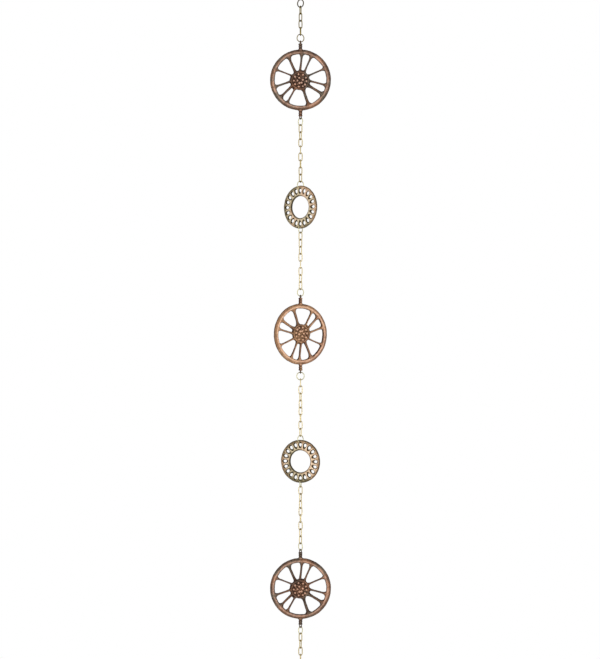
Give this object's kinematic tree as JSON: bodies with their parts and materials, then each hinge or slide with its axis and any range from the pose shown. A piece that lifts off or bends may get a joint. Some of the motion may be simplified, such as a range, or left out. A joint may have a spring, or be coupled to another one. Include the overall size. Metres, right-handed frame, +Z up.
{
  "type": "rain chain",
  "caption": "Hanging rain chain of spoked wheel castings and openwork ring castings joined by runs of oval wire links, for guiding roof water down from a gutter.",
  "frame": {"origin": "inner top of the hanging ring, where the gutter hook bears", "axes": "+Z up along the hanging line; +X to the right and -Y towards the viewer, with the first wheel seen face on"},
  "size_m": [0.1016, 0.052, 1.1092],
  "materials": {
    "chain_wire": "bright pale brass wire",
    "hanging_ring": "darkened brass wire",
    "wheel_casting": "antique copper finish, rubbed bright on the high edges",
    "wheel_eyes": "dark antique copper wire",
    "openwork_casting": "antique brass finish with dark hollows"
  },
  "bodies": {
    "hanging_ring": {"hanging_ring": "hanging_ring"},
    "link_01": {"link_01": "chain_wire"},
    "link_02": {"link_02": "chain_wire"},
    "link_03": {"link_03": "chain_wire"},
    "link_04": {"link_04": "chain_wire"},
    "jump_ring_01": {"jump_ring_01": "chain_wire"},
    "wheel_1": {"wheel_1": "wheel_casting", "wheel_1_eyes": "wheel_eyes"},
    "jump_ring_02": {"jump_ring_02": "chain_wire"},
    "link_05": {"link_05": "chain_wire"},
    "link_06": {"link_06": "chain_wire"},
    "link_07": {"link_07": "chain_wire"},
    "link_08": {"link_08": "chain_wire"},
    "link_09": {"link_09": "chain_wire"},
    "link_10": {"link_10": "chain_wire"},
    "link_11": {"link_11": "chain_wire"},
    "link_12": {"link_12": "chain_wire"},
    "jump_ring_03": {"jump_ring_03": "chain_wire"},
    "openwork_ring_1": {"openwork_ring_1": "openwork_casting"},
    "jump_ring_04": {"jump_ring_04": "chain_wire"},
    "link_13": {"link_13": "chain_wire"},
    "link_14": {"link_14": "chain_wire"},
    "link_15": {"link_15": "chain_wire"},
    "link_16": {"link_16": "chain_wire"},
    "link_17": {"link_17": "chain_wire"},
    "link_18": {"link_18": "chain_wire"},
    "link_19": {"link_19": "chain_wire"},
    "link_20": {"link_20": "chain_wire"},
    "jump_ring_05": {"jump_ring_05": "chain_wire"},
    "wheel_2": {"wheel_2": "wheel_casting", "wheel_2_eyes": "wheel_eyes"},
    "jump_ring_06": {"jump_ring_06": "chain_wire"},
    "link_21": {"link_21": "chain_wire"},
    "link_22": {"link_22": "chain_wire"},
    "link_23": {"link_23": "chain_wire"},
    "link_24": {"link_24": "chain_wire"},
    "link_25": {"link_25": "chain_wire"},
    "link_26": {"link_26": "chain_wire"},
    "link_27": {"link_27": "chain_wire"},
    "link_28": {"link_28": "chain_wire"},
    "jump_ring_07": {"jump_ring_07": "chain_wire"},
    "openwork_ring_2": {"openwork_ring_2": "openwork_casting"},
    "jump_ring_08": {"jump_ring_08": "chain_wire"},
    "link_29": {"link_29": "chain_wire"},
    "link_30": {"link_30": "chain_wire"},
    "link_31": {"link_31": "chain_wire"},
    "link_32": {"link_32": "chain_wire"},
    "link_33": {"link_33": "chain_wire"},
    "link_34": {"link_34": "chain_wire"},
    "link_35": {"link_35": "chain_wire"},
    "link_36": {"link_36": "chain_wire"},
    "jump_ring_09": {"jump_ring_09": "chain_wire"},
    "wheel_3": {"wheel_3": "wheel_casting", "wheel_3_eyes": "wheel_eyes"},
    "jump_ring_10": {"jump_ring_10": "chain_wire"},
    "link_37": {"link_37": "chain_wire"},
    "link_38": {"link_38": "chain_wire"},
    "link_39": {"link_39": "chain_wire"},
    "link_40": {"link_40": "chain_wire"}
  },
  "joints": [
    {"name": "link_01_swing", "type": "hinge", "parent": "hanging_ring", "child": "link_01", "pos_m": [0, 0, -0.0119], "axis": [0.766, -0.6428, 0], "range_deg": [-60, 60]},
    {"name": "link_02_swing", "type": "hinge", "parent": "link_01", "child": "link_02", "pos_m": [0, 0, -0.0236], "axis": [0.342, 0.9397, 0], "range_deg": [-60, 60]},
    {"name": "link_03_swing", "type": "hinge", "parent": "link_02", "child": "link_03", "pos_m": [0, 0, -0.0354], "axis": [-0.766, 0.6428, 0], "range_deg": [-60, 60]},
    {"name": "link_04_swing", "type": "hinge", "parent": "link_03", "child": "link_04", "pos_m": [0, 0, -0.0472], "axis": [-0.866, -0.5, 0], "range_deg": [-60, 60]},
    {"name": "jump_ring_01_swing", "type": "hinge", "parent": "link_04", "child": "jump_ring_01", "pos_m": [0, 0, -0.059], "axis": [-0.1736, 0.9848, 0], "range_deg": [-60, 60]},
    {"name": "wheel_1_swing", "type": "hinge", "parent": "jump_ring_01", "child": "wheel_1", "pos_m": [0, 0, -0.06995], "axis": [-0.9063, -0.4226, 0], "range_deg": [-60, 60]},
    {"name": "jump_ring_02_swing", "type": "hinge", "parent": "wheel_1", "child": "jump_ring_02", "pos_m": [0, 0, -0.1988], "axis": [-0.5736, -0.8192, 0], "range_deg": [-50, 50]},
    {"name": "link_05_swing", "type": "hinge", "parent": "jump_ring_02", "child": "link_05", "pos_m": [0, 0, -0.20975], "axis": [0.5736, -0.8192, 0], "range_deg": [-60, 60]},
    {"name": "link_06_swing", "type": "hinge", "parent": "link_05", "child": "link_06", "pos_m": [0, 0, -0.2216], "axis": [0.866, 0.5, 0], "range_deg": [-60, 60]},
    {"name": "link_07_swing", "type": "hinge", "parent": "link_06", "child": "link_07", "pos_m": [0, 0, -0.2334], "axis": [0.5, -0.866, 0], "range_deg": [-60, 60]},
    {"name": "link_08_swing", "type": "hinge", "parent": "link_07", "child": "link_08", "pos_m": [0, 0, -0.2452], "axis": [-0.9848, -0.1736, 0], "range_deg": [-60, 60]},
    {"name": "link_09_swing", "type": "hinge", "parent": "link_08", "child": "link_09", "pos_m": [0, 0, -0.257], "axis": [0, 1, 0], "range_deg": [-60, 60]},
    {"name": "link_10_swing", "type": "hinge", "parent": "link_09", "child": "link_10", "pos_m": [0, 0, -0.2688], "axis": [1, 0, 0], "range_deg": [-60, 60]},
    {"name": "link_11_swing", "type": "hinge", "parent": "link_10", "child": "link_11", "pos_m": [0, 0, -0.2806], "axis": [0.1736, -0.9848, 0], "range_deg": [-60, 60]},
    {"name": "link_12_swing", "type": "hinge", "parent": "link_11", "child": "link_12", "pos_m": [0, 0, -0.2924], "axis": [-0.866, -0.5, 0], "range_deg": [-60, 60]},
    {"name": "jump_ring_03_swing", "type": "hinge", "parent": "link_12", "child": "jump_ring_03", "pos_m": [0, 0, -0.3042], "axis": [-0.7071, 0.7071, 0], "range_deg": [-60, 60]},
    {"name": "openwork_ring_1_swing", "type": "hinge", "parent": "jump_ring_03", "child": "openwork_ring_1", "pos_m": [0, 0, -0.31515], "axis": [0.8192, 0.5736, 0], "range_deg": [-50, 50]},
    {"name": "jump_ring_04_swing", "type": "hinge", "parent": "openwork_ring_1", "child": "jump_ring_04", "pos_m": [0, 0, -0.3797], "axis": [0.766, -0.6428, 0], "range_deg": [-50, 50]},
    {"name": "link_13_swing", "type": "hinge", "parent": "jump_ring_04", "child": "link_13", "pos_m": [0, 0, -0.38935], "axis": [0.5, 0.866, 0], "range_deg": [-60, 60]},
    {"name": "link_14_swing", "type": "hinge", "parent": "link_13", "child": "link_14", "pos_m": [0, 0, -0.4012], "axis": [0.866, -0.5, 0], "range_deg": [-60, 60]},
    {"name": "link_15_swing", "type": "hinge", "parent": "link_14", "child": "link_15", "pos_m": [0, 0, -0.413], "axis": [-0.766, -0.6428, 0], "range_deg": [-60, 60]},
    {"name": "link_16_swing", "type": "hinge", "parent": "link_15", "child": "link_16", "pos_m": [0, 0, -0.4248], "axis": [-0.6428, 0.766, 0], "range_deg": [-60, 60]},
    {"name": "link_17_swing", "type": "hinge", "parent": "link_16", "child": "link_17", "pos_m": [0, 0, -0.4366], "axis": [0.9397, 0.342, 0], "range_deg": [-60, 60]},
    {"name": "link_18_swing", "type": "hinge", "parent": "link_17", "child": "link_18", "pos_m": [0, 0, -0.4484], "axis": [0, -1, 0], "range_deg": [-60, 60]},
    {"name": "link_19_swing", "type": "hinge", "parent": "link_18", "child": "link_19", "pos_m": [0, 0, -0.4602], "axis": [-0.9397, 0.342, 0], "range_deg": [-60, 60]},
    {"name": "link_20_swing", "type": "hinge", "parent": "link_19", "child": "link_20", "pos_m": [0, 0, -0.472], "axis": [-0.6428, -0.766, 0], "range_deg": [-60, 60]},
    {"name": "jump_ring_05_swing", "type": "hinge", "parent": "link_20", "child": "jump_ring_05", "pos_m": [0, 0, -0.4838], "axis": [0.766, -0.6428, 0], "range_deg": [-60, 60]},
    {"name": "wheel_2_swing", "type": "hinge", "parent": "jump_ring_05", "child": "wheel_2", "pos_m": [0, 0, -0.49475], "axis": [0.8192, 0.5736, 0], "range_deg": [-60, 60]},
    {"name": "jump_ring_06_swing", "type": "hinge", "parent": "wheel_2", "child": "jump_ring_06", "pos_m": [0, 0, -0.6236], "axis": [0.0872, 0.9962, 0], "range_deg": [-50, 50]},
    {"name": "link_21_swing", "type": "hinge", "parent": "jump_ring_06", "child": "link_21", "pos_m": [0, 0, -0.63455], "axis": [-0.9848, -0.1736, 0], "range_deg": [-60, 60]},
    {"name": "link_22_swing", "type": "hinge", "parent": "link_21", "child": "link_22", "pos_m": [0, 0, -0.6464], "axis": [0, -1, 0], "range_deg": [-60, 60]},
    {"name": "link_23_swing", "type": "hinge", "parent": "link_22", "child": "link_23", "pos_m": [0, 0, -0.6582], "axis": [-0.9848, 0.1736, 0], "range_deg": [-60, 60]},
    {"name": "link_24_swing", "type": "hinge", "parent": "link_23", "child": "link_24", "pos_m": [0, 0, -0.67], "axis": [0.4226, 0.9063, 0], "range_deg": [-60, 60]},
    {"name": "link_25_swing", "type": "hinge", "parent": "link_24", "child": "link_25", "pos_m": [0, 0, -0.6818], "axis": [-0.766, 0.6428, 0], "range_deg": [-60, 60]},
    {"name": "link_26_swing", "type": "hinge", "parent": "link_25", "child": "link_26", "pos_m": [0, 0, -0.6936], "axis": [0.866, 0.5, 0], "range_deg": [-60, 60]},
    {"name": "link_27_swing", "type": "hinge", "parent": "link_26", "child": "link_27", "pos_m": [0, 0, -0.7054], "axis": [0.1736, -0.9848, 0], "range_deg": [-60, 60]},
    {"name": "link_28_swing", "type": "hinge", "parent": "link_27", "child": "link_28", "pos_m": [0, 0, -0.7172], "axis": [-0.9659, -0.2588, 0], "range_deg": [-60, 60]},
    {"name": "jump_ring_07_swing", "type": "hinge", "parent": "link_28", "child": "jump_ring_07", "pos_m": [0, 0, -0.729], "axis": [0.4226, -0.9063, 0], "range_deg": [-60, 60]},
    {"name": "openwork_ring_2_swing", "type": "hinge", "parent": "jump_ring_07", "child": "openwork_ring_2", "pos_m": [0, 0, -0.73995], "axis": [0.7071, 0.7071, 0], "range_deg": [-50, 50]},
    {"name": "jump_ring_08_swing", "type": "hinge", "parent": "openwork_ring_2", "child": "jump_ring_08", "pos_m": [0, 0, -0.8045], "axis": [0.9063, -0.4226, 0], "range_deg": [-50, 50]},
    {"name": "link_29_swing", "type": "hinge", "parent": "jump_ring_08", "child": "link_29", "pos_m": [0, 0, -0.81415], "axis": [0.1736, 0.9848, 0], "range_deg": [-60, 60]},
    {"name": "link_30_swing", "type": "hinge", "parent": "link_29", "child": "link_30", "pos_m": [0, 0, -0.826], "axis": [0.9848, -0.1736, 0], "range_deg": [-60, 60]},
    {"name": "link_31_swing", "type": "hinge", "parent": "link_30", "child": "link_31", "pos_m": [0, 0, -0.8378], "axis": [-0.5, -0.866, 0], "range_deg": [-60, 60]},
    {"name": "link_32_swing", "type": "hinge", "parent": "link_31", "child": "link_32", "pos_m": [0, 0, -0.8496], "axis": [-0.6428, 0.766, 0], "range_deg": [-60, 60]},
    {"name": "link_33_swing", "type": "hinge", "parent": "link_32", "child": "link_33", "pos_m": [0, 0, -0.8614], "axis": [-0.866, -0.5, 0], "range_deg": [-60, 60]},
    {"name": "link_34_swing", "type": "hinge", "parent": "link_33", "child": "link_34", "pos_m": [0, 0, -0.8732], "axis": [0.1736, -0.9848, 0], "range_deg": [-60, 60]},
    {"name": "link_35_swing", "type": "hinge", "parent": "link_34", "child": "link_35", "pos_m": [0, 0, -0.885], "axis": [0.9848, 0.1736, 0], "range_deg": [-60, 60]},
    {"name": "link_36_swing", "type": "hinge", "parent": "link_35", "child": "link_36", "pos_m": [0, 0, -0.8968], "axis": [-0.5, 0.866, 0], "range_deg": [-60, 60]},
    {"name": "jump_ring_09_swing", "type": "hinge", "parent": "link_36", "child": "jump_ring_09", "pos_m": [0, 0, -0.9086], "axis": [-0.6428, -0.766, 0], "range_deg": [-60, 60]},
    {"name": "wheel_3_swing", "type": "hinge", "parent": "jump_ring_09", "child": "wheel_3", "pos_m": [0, 0, -0.91955], "axis": [-0.5, 0.866, 0], "range_deg": [-60, 60]},
    {"name": "jump_ring_10_swing", "type": "hinge", "parent": "wheel_3", "child": "jump_ring_10", "pos_m": [0, 0, -1.0484], "axis": [0.6428, -0.766, 0], "range_deg": [-50, 50]},
    {"name": "link_37_swing", "type": "hinge", "parent": "jump_ring_10", "child": "link_37", "pos_m": [0, 0, -1.05935], "axis": [0.5, 0.866, 0], "range_deg": [-60, 60]},
    {"name": "link_38_swing", "type": "hinge", "parent": "link_37", "child": "link_38", "pos_m": [0, 0, -1.0712], "axis": [0.8192, -0.5736, 0], "range_deg": [-60, 60]},
    {"name": "link_39_swing", "type": "hinge", "parent": "link_38", "child": "link_39", "pos_m": [0, 0, -1.083], "axis": [-0.4226, -0.9063, 0], "range_deg": [-60, 60]},
    {"name": "link_40_swing", "type": "hinge", "parent": "link_39", "child": "link_40", "pos_m": [0, 0, -1.0948], "axis": [-0.9962, 0.0872, 0], "range_deg": [-60, 60]}
  ]
}
